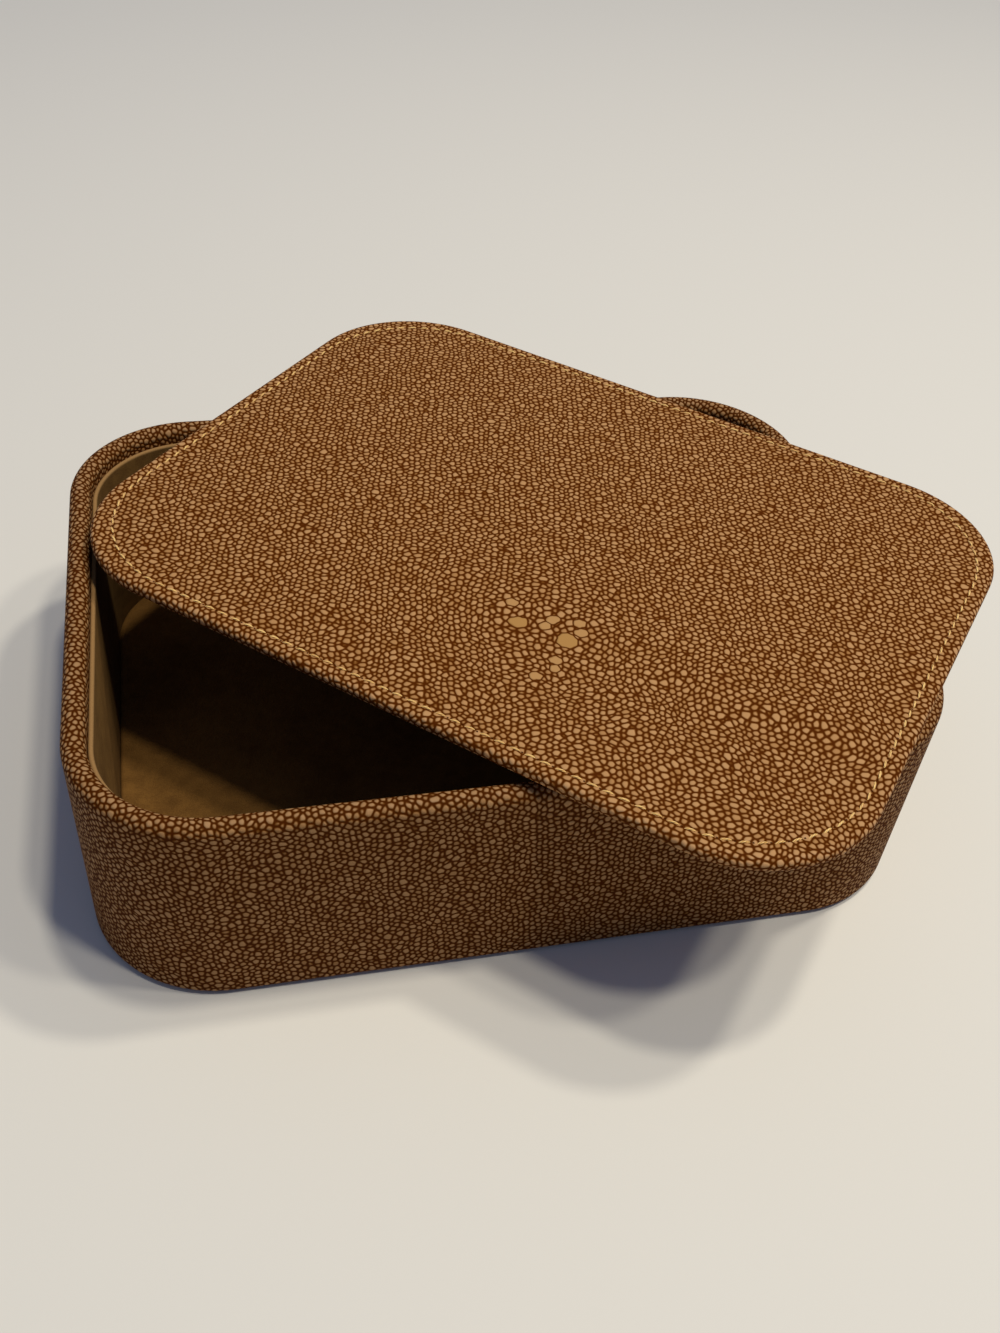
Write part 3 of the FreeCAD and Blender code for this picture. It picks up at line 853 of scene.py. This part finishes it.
class Wrap:
    """A sheet that follows a section all the way round a plan, drawn at the back and carried round."""

    def __init__(self, plan: Plan, corner_steps: int, seam: float = 0.0) -> None:
        """Start with no section.

        Args:
            plan: the outline that insets are measured from.
            corner_steps: how many steps each corner takes.
            seam: the gap where the two ends meet at the back, zero for a whole ring.
        """
        self.plan = plan
        self.corner_steps = corner_steps
        self.seam = seam
        self.mesh: BMesh = bmesh.new()
        self.way = self.mesh.verts.layers.float.new("way")
        self.tip: Optional[BMVert] = None
        self.total = 0.0

    def spot(self, inset: float, level: float) -> Vector:
        """A point of the section, by its inset and level."""
        return Vector((-self.seam / 2, self.plan.width / 2 - inset, level))

    def line(self, inset: float, level: float) -> "Wrap":
        """Start the section at a point, or draw it on to a point.

        Args:
            inset: how far inside the plan the point lies.
            level: how high it lies.

        Returns:
            The wrap itself.
        """
        if self.tip is None:
            self.tip = self.mesh.verts.new(self.spot(inset, level))
            return self
        fresh = bmesh.ops.extrude_vert_indiv(self.mesh, verts=[self.tip])["verts"]
        bmesh.ops.translate(self.mesh, verts=fresh, vec=self.spot(inset, level) - self.tip.co)
        self.tip = fresh[0]
        return self

    def arc(self, inset: float, level: float, turn: float, steps: int) -> "Wrap":
        """Draw the section on in an arc about a centre.

        Args:
            inset: how far inside the plan the centre lies.
            level: how high it lies.
            turn: how far the arc turns.
            steps: how many steps it takes.

        Returns:
            The wrap itself.
        """
        last = bmesh.ops.spin(
            self.mesh, geom=[self.tip], cent=self.spot(inset, level), axis=(1, 0, 0), dvec=(0, 0, 0),
            angle=turn, steps=steps, use_merge=False, use_duplicate=False,
        )["geom_last"]
        self.tip = next(part for part in last if isinstance(part, BMVert))
        return self

    def sweep(self, cap: Cap = Cap.NONE) -> "Wrap":
        """Carry the section round the plan and close the ends that are asked for.

        Args:
            cap: which ends of the section get a flat face.

        Returns:
            The wrap itself.
        """
        drawn = list(self.mesh.verts)
        for before, after in zip(drawn, drawn[1:]):
            after[self.way] = before[self.way] + (after.co - before.co).length
        self.total = drawn[-1][self.way]
        reach = self.plan.reach
        half = reach.x - self.seam / 2
        runs = (half, 2 * reach.y, 2 * reach.x, 2 * reach.y, half)
        corners = ((-1, 1), (-1, -1), (1, -1), (1, 1), None)
        edges = list(self.mesh.edges)
        for side, (run, corner) in enumerate(zip(runs, corners)):
            heading = HALF + side * QUARTER
            edges = self._push(edges, Vector((math.cos(heading), math.sin(heading), 0)) * run)
            if corner:
                edges = self._turn(edges, Vector((corner[0] * reach.x, corner[1] * reach.y, 0)))
        if not self.seam:
            bmesh.ops.remove_doubles(self.mesh, verts=self.mesh.verts, dist=SAME)
        if cap in (Cap.START, Cap.BOTH):
            self._close(0.0)
        if cap in (Cap.END, Cap.BOTH):
            self._close(self.total)
        return self

    def _push(self, edges: list[BMEdge], shift: Vector) -> list[BMEdge]:
        """Carry the section straight on.

        Args:
            edges: the section's edges where it stands.
            shift: how far it goes.

        Returns:
            The section's edges where it comes to lie.
        """
        made = bmesh.ops.extrude_edge_only(self.mesh, edges=edges)["geom"]
        fresh = [part for part in made if isinstance(part, BMVert)]
        bmesh.ops.translate(self.mesh, verts=fresh, vec=shift)
        ends = set(fresh)
        return [part for part in made if isinstance(part, BMEdge) and ends.issuperset(part.verts)]

    def _turn(self, edges: list[BMEdge], centre: Vector) -> list[BMEdge]:
        """Carry the section round a corner.

        Args:
            edges: the section's edges where it stands.
            centre: what it turns about.

        Returns:
            The section's edges where it comes to lie.
        """
        verts = list({vert for edge in edges for vert in edge.verts})
        last = bmesh.ops.spin(
            self.mesh, geom=verts + edges, cent=centre, axis=UP, dvec=(0, 0, 0), angle=QUARTER,
            steps=self.corner_steps, use_merge=False, use_duplicate=False,
        )["geom_last"]
        return [part for part in last if isinstance(part, BMEdge)]

    def _close(self, way: float) -> None:
        """Fill the open loop that lies at one end of the section.

        Args:
            way: how far along the section that end lies.
        """
        loop = [
            edge for edge in self.mesh.edges
            if edge.is_boundary and all(abs(vert[self.way] - way) < SAME for vert in edge.verts)
        ]
        bmesh.ops.edgeloop_fill(self.mesh, edges=loop)
        bmesh.ops.recalc_face_normals(self.mesh, faces=self.mesh.faces)

    def flat_face(self) -> BMFace:
        """The face with the most corners, which closes a panel."""
        return max(self.mesh.faces, key=lambda face: len(face.verts))

    def thicken(self, thickness: float) -> "Wrap":
        """Give the sheet its thickness, inwards.

        Args:
            thickness: how thick the sheet is.

        Returns:
            The wrap itself.
        """
        self.mesh.normal_update()
        bmesh.ops.solidify(self.mesh, geom=list(self.mesh.faces), thickness=thickness)
        return self

    def map_by(
        self, name: str, place: Callable[[BMVert], tuple[float, float]], around: float = 0.0,
    ) -> "Wrap":
        """Lay a map on the sheet.

        Args:
            name: the map's name.
            place: gives a vertex its place on the map.
            around: what the first coordinate grows by in one full turn, where a ring has to be cut.

        Returns:
            The wrap itself.
        """
        layer = self.mesh.loops.layers.uv.new(name)
        for face in self.mesh.faces:
            places = [place(loop.vert) for loop in face.loops]
            far = max(spot[0] for spot in places)
            for loop, (first, second) in zip(face.loops, places):
                cut = around if around and far - first > around / 2 else 0.0
                loop[layer].uv = (first + cut, second)
        return self


def freed(name: str, mesh: BMesh) -> bpy.types.Mesh:
    """Turn a modelled mesh into a mesh that an object can hold.

    Args:
        name: the new mesh's name.
        mesh: the modelled mesh, which is freed.

    Returns:
        The new mesh.
    """
    data = bpy.data.meshes.new(name)
    mesh.to_mesh(data)
    mesh.free()
    return data


def put_in_scene(name: str, data: bpy.types.ID) -> bpy.types.Object:
    """Put an object into the scene.

    Args:
        name: its name.
        data: its mesh, lamp or camera.

    Returns:
        The object.
    """
    made = bpy.data.objects.new(name, data)
    bpy.context.scene.collection.objects.link(made)
    return made


@dataclass
class Piece:
    """One finished mesh, the body it rides on and the imported part that it hides; its slot is kept but
    unused.
    """

    name: str
    body: Body
    slot: Slot
    replaces: str
    crease: float = math.radians(40)

    def finish(
        self, mesh: BMesh, material: bpy.types.Material, place: Optional[Matrix] = None,
    ) -> bpy.types.Object:
        """Make the piece's object.

        Args:
            mesh: the modelled mesh, which is freed.
            material: its finish.
            place: where it goes, put into the mesh.

        Returns:
            The object, riding on its body.
        """
        data = freed(self.name, mesh)
        if place is not None:
            data.transform(place)
        data.materials.append(material)
        data.shade_smooth()
        data.set_sharp_from_angle(angle=self.crease)
        made = put_in_scene(self.name, data)
        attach(made, self.body.value)
        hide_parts(self.replaces)
        log.info("%s: %d faces, rides on %s", self.name, len(data.polygons), self.body.value)
        return made


@dataclass
class Sizes:
    """What the pieces share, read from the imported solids."""

    glue: float = 0.1 * MM
    skin: float = 0.9 * MM
    suede: float = 0.5 * MM
    seam: float = 0.3 * MM
    corner_steps: int = 32
    plan: Plan = field(init=False)
    foot: float = field(init=False)
    rim: float = field(init=False)
    rim_width: float = field(init=False)
    lid_place: Matrix = field(init=False)
    lid_thickness: float = field(init=False)
    lid_turn: float = math.radians(-41.9)

    def __post_init__(self) -> None:
        """Read the outline, the levels and the lid's place."""
        low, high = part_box("wall_covering")
        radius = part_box("corner_block_front_left")[1].x - low.x
        self.plan = Plan(high.x - low.x, high.y - low.y, radius)
        self.foot = low.z
        self.rim = high.z
        self.rim_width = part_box("wall_lining_suede")[0].x - low.x - self.glue
        low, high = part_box("lid_covering")
        middle = (low + high) / 2
        self.lid_thickness = high.z - low.z
        seat = Vector((middle.x, middle.y, low.z))
        self.lid_place = Matrix.Translation(seat) @ Matrix.Rotation(self.lid_turn, 4, "Z")


@dataclass
class Box:
    """The open box: its leather, its lining and the sheet that it stands on."""

    sizes: Sizes
    turn_under: float = 12 * MM
    turn_in: float = 14 * MM
    foot_radius: float = 2.2 * MM
    fold: float = 12 * MM
    lining_width: float = 1.8 * MM
    floor_radius: float = 1.7 * MM
    floor_nap: float = 0.25 * MM
    felt_ease: float = 0.3 * MM
    rim_reach: float = 3.5 * MM
    grain_pitch: float = 2.35 * MM
    grain_turn: float = math.radians(25)
    # painted shade: the wall's leather, rim included, is painted at this share of its brightness, for the
    # shade on the upright walls
    bright_share: float = 0.7
    # painted highlight for the top fold of the wall lining
    painted_lip_highlight: Paint = Paint(152, 115, 71)
    foot_steps: int = 6
    rim_steps: int = 24
    edge_steps: int = 6

    def build(self) -> None:
        """Make every piece of the box."""
        self.leather()
        self.wall_lining()
        self.floor_lining()
        self.base_sheet()

    def leather(self) -> None:
        """The leather strip: turned under the bottom, up the wall, over the rim and down inside."""
        sizes = self.sizes
        radius = sizes.rim_width / 2
        axis = sizes.rim - radius
        wrap = Wrap(sizes.plan, sizes.corner_steps, sizes.seam)
        wrap.line(self.turn_under, sizes.foot).line(self.foot_radius, sizes.foot)
        wrap.arc(self.foot_radius, sizes.foot + self.foot_radius, QUARTER, self.foot_steps)
        wrap.line(0, axis).arc(radius, axis, HALF, self.rim_steps)
        wrap.line(sizes.rim_width, sizes.rim - self.turn_in).sweep()
        wrap.thicken(sizes.skin)
        wrap.map_by(GRAIN_MAP, lambda vert: self.unrolled(wrap, vert))
        rim_way = wrap.total - (self.turn_in - radius) - QUARTER * radius
        wrap.map_by(EDGE_MAP, lambda vert: (vert[wrap.way] - rim_way, 0))
        # painted shade: the walls' leather is painted darker than the lid's
        grain = Shagreen("wall_shagreen", self.grain_pitch, self.rim_reach, bright_share=self.bright_share)
        made = Piece("wall_skin", Body.BOX, Slot.SKIN, "wall_covering").finish(wrap.mesh, grain.material())
        flat = (wrap.total, sizes.plan.perimeter)

    def unrolled(self, wrap: Wrap, vert: BMVert) -> tuple[float, float]:
        """Where a point of the strip lay on the flat hide, which was cut at a slant.

        Args:
            wrap: the strip.
            vert: the point.

        Returns:
            The place along and across the hide.
        """
        place = Vector((self.sizes.plan.along(vert.co), vert[wrap.way]))
        return tuple(Matrix.Rotation(self.grain_turn, 2) @ place)

    def wall_lining(self) -> None:
        """The suede of the wall lining, folded over the top of its card."""
        low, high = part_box("wall_lining_suede")
        plan = self.sizes.plan
        inset = plan.length / 2 + low.x
        radius = self.lining_width / 2
        axis = high.z - radius
        wrap = Wrap(plan, self.sizes.corner_steps, self.sizes.seam)
        wrap.line(inset, axis - self.fold).line(inset, axis)
        wrap.arc(inset + radius, axis, HALF, self.rim_steps // 2)
        wrap.line(inset + self.lining_width, low.z).sweep().thicken(self.sizes.suede)
        # painted highlight: the suede turns paler towards the top of the lining, where it folds over
        suede = replace(SUEDE, name="wall_suede", wear_and_highlight=self.painted_lip_highlight, painted_highlight_level=high.z)
        piece = Piece("wall_lining", Body.BOX, Slot.SUEDE, "wall_lining_suede")
        made = piece.finish(wrap.mesh, suede.material())
        flat = (wrap.total, plan.inset(inset).perimeter)

    def floor_lining(self) -> None:
        """The suede of the floor, drawn over its card's edge, with its nap against the wall lining."""
        low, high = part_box("floor_suede")
        plan = self.sizes.plan
        inset = plan.length / 2 + low.x - self.floor_nap
        wrap = Wrap(plan, self.sizes.corner_steps)
        level = high.z - self.floor_radius
        wrap.line(inset, low.z).line(inset, level)
        wrap.arc(inset + self.floor_radius, level, QUARTER, self.edge_steps).sweep(Cap.END)
        wrap.thicken(self.sizes.suede)
        piece = Piece("floor_lining", Body.BOX, Slot.SUEDE, "floor_suede")
        # painted light: the floor takes the lighter copy of the suede
        made = piece.finish(wrap.mesh, FLOOR_SUEDE_PAINTED_LIGHTER.material())
        cut = plan.inset(inset + self.floor_radius - wrap.total)
        cut.flat
        cut.area

    def base_sheet(self) -> None:
        """The dark felt that the box stands on, with its cut edge eased."""
        low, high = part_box("base_felt")
        plan = self.sizes.plan
        inset = plan.length / 2 + low.x
        ease = self.felt_ease
        wrap = Wrap(plan, self.sizes.corner_steps)
        wrap.line(inset + ease, low.z).arc(inset + ease, low.z + ease, QUARTER, self.edge_steps)
        wrap.line(inset, high.z - ease).arc(inset + ease, high.z - ease, QUARTER, self.edge_steps)
        wrap.sweep(Cap.BOTH)
        made = Piece("base_sheet", Body.BOX, Slot.FELT, "base_felt").finish(wrap.mesh, FELT.material())
        cut = plan.inset(inset)
        cut.flat
        cut.area


@dataclass
class Lid:
    """The loose lid: its leather, its stitches and the lined board under it."""

    sizes: Sizes
    turn_under: float = 15 * MM
    edge_radius: float = 2.4 * MM
    edge_reach: float = 2.2 * MM
    grain_pitch: float = 2.45 * MM
    bright_share: float = 0.93
    stitch_inset: float = 5.7 * MM
    stitch_pitch: float = 5.5 * MM
    stitch_length: float = 4.4 * MM
    thread: float = 0.8 * MM
    stitch_slant: float = math.radians(10)
    stitch_dip: float = 0.6 * MM
    stitch_rise: float = 0.02 * MM
    groove_half_width: float = 1.1 * MM
    groove_depth: float = 0.3 * MM
    groove_shares: tuple[tuple[float, float], ...] = (
        (0.5, 0.35), (0.5, 0.65), (0.5, -0.65), (0.5, -0.35),
    )
    plug_radius: float = 1.7 * MM
    edge_steps: int = 8
    stitch_sides: int = 8
    stitch_rings: int = 7
    pearls: tuple[Pearl, ...] = (
        Pearl(15.2 * MM, -54.6 * MM, 3.9 * MM, 2.9 * MM, math.radians(25), 1.0),
        Pearl(34.0 * MM, -53.7 * MM, 4.05 * MM, 3.7 * MM, math.radians(-15), 1.0),
        Pearl(24.8 * MM, -46.7 * MM, 2.6 * MM, 2.5 * MM, math.radians(30)),
        Pearl(23.9 * MM, -51.2 * MM, 2.4 * MM, 2.3 * MM, math.radians(20)),
        Pearl(33.7 * MM, -43.1 * MM, 2.5 * MM, 2.4 * MM, math.radians(40)),
        Pearl(36.1 * MM, -47.5 * MM, 2.4 * MM, 2.3 * MM, math.radians(20)),
        Pearl(35.3 * MM, -64.9 * MM, 2.4 * MM, 2.2 * MM, math.radians(10)),
        Pearl(37.1 * MM, -68.7 * MM, 1.9 * MM, 1.9 * MM),
        Pearl(33.6 * MM, -75.6 * MM, 2.4 * MM, 2.2 * MM, math.radians(35)),
        Pearl(8.2 * MM, -46.6 * MM, 2.5 * MM, 2.2 * MM, math.radians(25)),
    )
    swells: tuple[Swell, ...] = (
        Swell(24 * MM, -50 * MM, 42 * MM, 30 * MM, 0.2, 0.2, 0.03),
        Swell(105 * MM, -47 * MM, 55 * MM, 15 * MM, 0.12, 0.2, 0.03),
        Swell(152 * MM, -95 * MM, 48 * MM, 36 * MM, -0.16, -0.16),
    )

    def build(self) -> None:
        """Make every piece of the lid."""
        self.leather()
        self.stitches()
        self.plug_lining()

    @property
    def row(self) -> Plan:
        """The line of the stitches, which turns at the same radius as the lid's outline."""
        plan = self.sizes.plan
        return Plan(plan.length - 2 * self.stitch_inset, plan.width - 2 * self.stitch_inset, plan.radius)

    @property
    def stitch_count(self) -> int:
        """How many stitches go round the lid."""
        return round(self.row.perimeter / self.stitch_pitch)

    def leather(self) -> None:
        """The leather skin: turned under, round the edge and over the top, with a stitched groove."""
        plan = self.sizes.plan
        radius = self.edge_radius
        top = self.sizes.lid_thickness
        wrap = Wrap(plan, self.sizes.corner_steps)
        wrap.line(self.turn_under, 0).line(radius, 0).arc(radius, radius, QUARTER, self.edge_steps)
        wrap.line(0, top - radius).arc(radius, top - radius, QUARTER, self.edge_steps).sweep(Cap.END)
        self.press_groove(wrap)
        wrap.thicken(self.sizes.skin)
        row = self.row
        pitch = row.perimeter / self.stitch_count
        edge_way = wrap.total - QUARTER * radius / 2
        wrap.map_by(GRAIN_MAP, lambda vert: self.unrolled(wrap, vert))
        wrap.map_by(
            SEAM_MAP, lambda vert: (row.along(vert.co) / pitch, row.depth(vert.co)), self.stitch_count,
        )
        wrap.map_by(
            EDGE_MAP,
            lambda vert: (vert[wrap.way] - edge_way + max(0, plan.depth(vert.co) - radius), 0),
        )
        grain = Shagreen(
            "lid_shagreen", self.grain_pitch, self.edge_reach, self.swells, self.pearls, stitched=True,
            bright_share=self.bright_share,
        )
        piece = Piece("lid_skin", Body.LID, Slot.SKIN, "lid_covering")
        made = piece.finish(wrap.mesh, grain.material(), self.sizes.lid_place)
        cut = plan.inset(radius - wrap.total)
        cut.flat
        cut.area

    def press_groove(self, wrap: Wrap) -> None:
        """Press the groove that the stitches lie in into the top face.

        Args:
            wrap: the skin, closed by its top face.
        """
        wrap.mesh.normal_update()
        face = wrap.flat_face()
        border = self.stitch_inset - self.groove_half_width - self.edge_radius
        bmesh.ops.inset_region(wrap.mesh, faces=[face], thickness=border, depth=0, use_even_offset=True)
        plan = self.sizes.plan
        row = self.row
        for vert in face.verts:
            core = plan.core(vert.co)
            out = (vert.co.xy - core).normalized()
            centre = Vector((core.x * row.reach.x / plan.reach.x, core.y * row.reach.y / plan.reach.y))
            vert.co.xy = centre + out * (row.radius + self.groove_half_width)
        for wide, deep in self.groove_shares:
            bmesh.ops.inset_region(
                wrap.mesh, faces=[face], thickness=self.groove_half_width * wide,
                depth=-self.groove_depth * deep, use_even_offset=True,
            )

    def unrolled(self, wrap: Wrap, vert: BMVert) -> tuple[float, float]:
        """Where a point of the skin lay on the flat hide.

        Args:
            wrap: the skin.
            vert: the point.

        Returns:
            The place along and across the hide.
        """
        plan = self.sizes.plan
        core = plan.core(vert.co)
        out = vert.co.xy - core
        beyond = wrap.total - vert[wrap.way]
        inset = plan.depth(vert.co) if beyond < SAME else self.edge_radius - beyond
        return tuple(core + out.normalized() * (plan.radius - inset))

    def stitches(self) -> None:
        """The row of stitches, each a plump thread that dips into the leather at both ends."""
        mesh = bmesh.new()
        mesh.loops.layers.uv.new(TWIST_MAP)
        row = self.row
        pitch = row.perimeter / self.stitch_count
        half = self.stitch_length / 2
        thick = self.thread / 2
        lying = Matrix.Rotation(QUARTER, 4, "Y")
        for number in range(self.stitch_count):
            spot, heading = row.at((number + 1 / 2) * pitch)
            made = bmesh.ops.create_uvsphere(
                mesh, u_segments=self.stitch_sides, v_segments=self.stitch_rings, radius=1,
                matrix=lying, calc_uvs=True,
            )["verts"]
            bmesh.ops.scale(mesh, verts=made, vec=(half, thick, thick))
            for vert in made:
                vert.co.z -= self.stitch_dip * (vert.co.x / half) ** 2
            level = self.sizes.lid_thickness + self.stitch_rise
            turn = Matrix.Rotation(heading + self.stitch_slant, 4, "Z")
            bmesh.ops.transform(mesh, matrix=Matrix.Translation((*spot, level)) @ turn, verts=made)
        piece = Piece("lid_stitches", Body.LID, Slot.THREAD, "lid_stitching")
        piece.finish(mesh, Thread("gold_thread").material(), self.sizes.lid_place)

    def plug_lining(self) -> None:
        """The suede over the board that drops inside the rim."""
        low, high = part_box("locating_board_suede")
        seat = self.sizes.lid_place.translation.z
        plan = self.sizes.plan
        board = self.plug_inset()
        bottom = low.z - seat
        radius = self.plug_radius
        wrap = Wrap(plan, self.sizes.corner_steps)
        wrap.line(board + radius, bottom).arc(board + radius, bottom + radius, QUARTER, self.edge_steps)
        wrap.line(board, high.z - seat).sweep(Cap.START).thicken(self.sizes.suede)
        piece = Piece("lid_plug_lining", Body.LID, Slot.SUEDE, "locating_board_suede")
        made = piece.finish(wrap.mesh, SUEDE.material(), self.sizes.lid_place)
        cut = plan.inset(board + radius - wrap.total)
        cut.flat
        cut.area

    def plug_inset(self) -> float:
        """How far the lined board lies inside the lid's edge, from the two boxes round the turned lid.

        Returns:
            The inset.
        """
        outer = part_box("lid_covering")
        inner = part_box("locating_board_suede")
        return inner[0].x - outer[0].x


SUEDE = Nap("tan_suede", Paint(82, 54, 21), Paint(125, 91, 45))
# painted light: the same suede as above, painted lighter for the light on the open floor
FLOOR_SUEDE_PAINTED_LIGHTER = Nap("floor_suede", Paint(97, 64, 26), Paint(141, 99, 46))
FELT = Nap("dark_felt", Paint(30, 22, 16), Paint(62, 48, 38), hair=0.6 * MM, blot=3 * MM, pile=0.2 * MM)
BOARD = Fibre("fibreboard", Paint(150, 116, 78), Paint(196, 164, 122), 0.5 * MM)
CARD = Fibre("grey_card", Paint(120, 114, 104), Paint(166, 160, 148), 0.8 * MM)


def dress_core() -> None:
    """Give the boards and cards inside their finishes."""
    finishes = {Slot.BOARD.value: BOARD.material(), Slot.CARD.value: CARD.material()}
    for part in frame["record"]["subparts"]:
        if part["material_slot"] in finishes:
            node = frame["nodes"][part["node"]]
            node.data.materials.clear()
            node.data.materials.append(finishes[part["material_slot"]])
            log.info("%s: %s", part["node"], part["material_slot"])


@dataclass(frozen=True)
class Lamp:
    """A soft lamp that points at the box, by how far it hangs aside for each metre of height."""

    name: str
    lean_shares: tuple[float, float]
    watts: float
    height: float = 2.5
    size: float = 0.2
    tint: tuple[float, float, float] = (1.0, 0.965, 0.85)

    def hang(self) -> None:
        """Put the lamp in the scene."""
        data = bpy.data.lights.new(self.name, "AREA")
        data.shape = "DISK"
        data.size = self.size
        data.energy = self.watts
        data.color = self.tint
        reach = Vector((*self.lean_shares, 1)) * self.height
        made = put_in_scene(self.name, data)
        made.location = reach
        made.rotation_euler = reach.to_track_quat("Z", "Y").to_euler()


@dataclass
class Studio:
    """The floor, the lamps and the camera."""

    yaw: float = math.radians(-15.913)
    pitch: float = math.radians(42.513)
    roll: float = math.radians(5.619)
    distance: float = 0.58013
    target: tuple[float, float, float] = (0.01947, 0.03544, 0.0)
    lens: float = 35.342
    floor_size: float = 3.0
    floor_paint: Paint = Paint(222, 216, 205)
    floor_tooth: float = 2 * MM
    floor_tooth_depth: float = 0.02 * MM
    floor_roughness: float = 0.7
    floor_specular: float = 0.3
    sky: tuple[float, float, float, float] = (0.64, 0.8, 1.3, 1.0)
    sky_strength: float = 0.2
    lamps: tuple[Lamp, ...] = (
        Lamp("ceiling_front_left", (0.236, -0.281), 16.4),
        Lamp("ceiling_front_right", (0.485, -0.199), 12.9),
        Lamp("ceiling_back_left", (0.137, -0.015), 17.5),
        Lamp("ceiling_back_right", (0.433, 0.082), 18.5),
    )

    def build(self) -> None:
        """Set the stage."""
        self.lay_floor()
        self.light()
        self.aim_camera()
        bpy.context.scene.view_settings.view_transform = "Standard"

    def lay_floor(self) -> None:
        """A plain pale floor with a faint tooth."""
        mesh = bmesh.new()
        bmesh.ops.create_grid(mesh, x_segments=1, y_segments=1, size=self.floor_size / 2)
        data = freed("floor", mesh)
        shader = Shader("floor_paint")
        shader.raise_by(shader.noise(shader.place(), self.floor_tooth), self.floor_tooth_depth)
        shader.dress(roughness=self.floor_roughness, specular_ior_level=self.floor_specular)
        data.materials.append(shader.dress(base_color=self.floor_paint.linear()))
        floor = put_in_scene("floor", data)

    def light(self) -> None:
        """Hang the lamps and set the light of the sky."""
        world = bpy.data.worlds.new("sky")
        world.use_nodes = True
        sky = next(node for node in world.node_tree.nodes if node.type == "BACKGROUND")
        sky.inputs["Color"].default_value = self.sky
        sky.inputs["Strength"].default_value = self.sky_strength
        bpy.context.scene.world = world
        for lamp in self.lamps:
            lamp.hang()

    def aim_camera(self) -> None:
        """Put the camera where the photograph was taken from."""
        back = Vector((
            math.sin(self.yaw) * math.cos(self.pitch),
            -math.cos(self.yaw) * math.cos(self.pitch),
            math.sin(self.pitch),
        ))
        right = (-back).cross(UP).normalized()
        above = right.cross(-back)
        turned = Matrix.Rotation(self.roll, 3, back)
        axes = Matrix((turned @ right, turned @ above, back)).transposed()
        data = bpy.data.cameras.new("camera")
        data.lens = self.lens
        data.clip_start = MM
        camera = put_in_scene("camera", data)
        spot = Vector(self.target) + back * self.distance
        camera.matrix_world = Matrix.Translation(spot) @ axes.to_4x4()
        bpy.context.scene.camera = camera


def main() -> None:
    """Build the box, the lid and the stage, in that order."""
    logging.basicConfig(level=logging.INFO, format="%(message)s")
    sizes = Sizes()
    Box(sizes).build()
    Lid(sizes).build()
    dress_core()
    Studio().build()


if __name__ == "__main__":
    main()
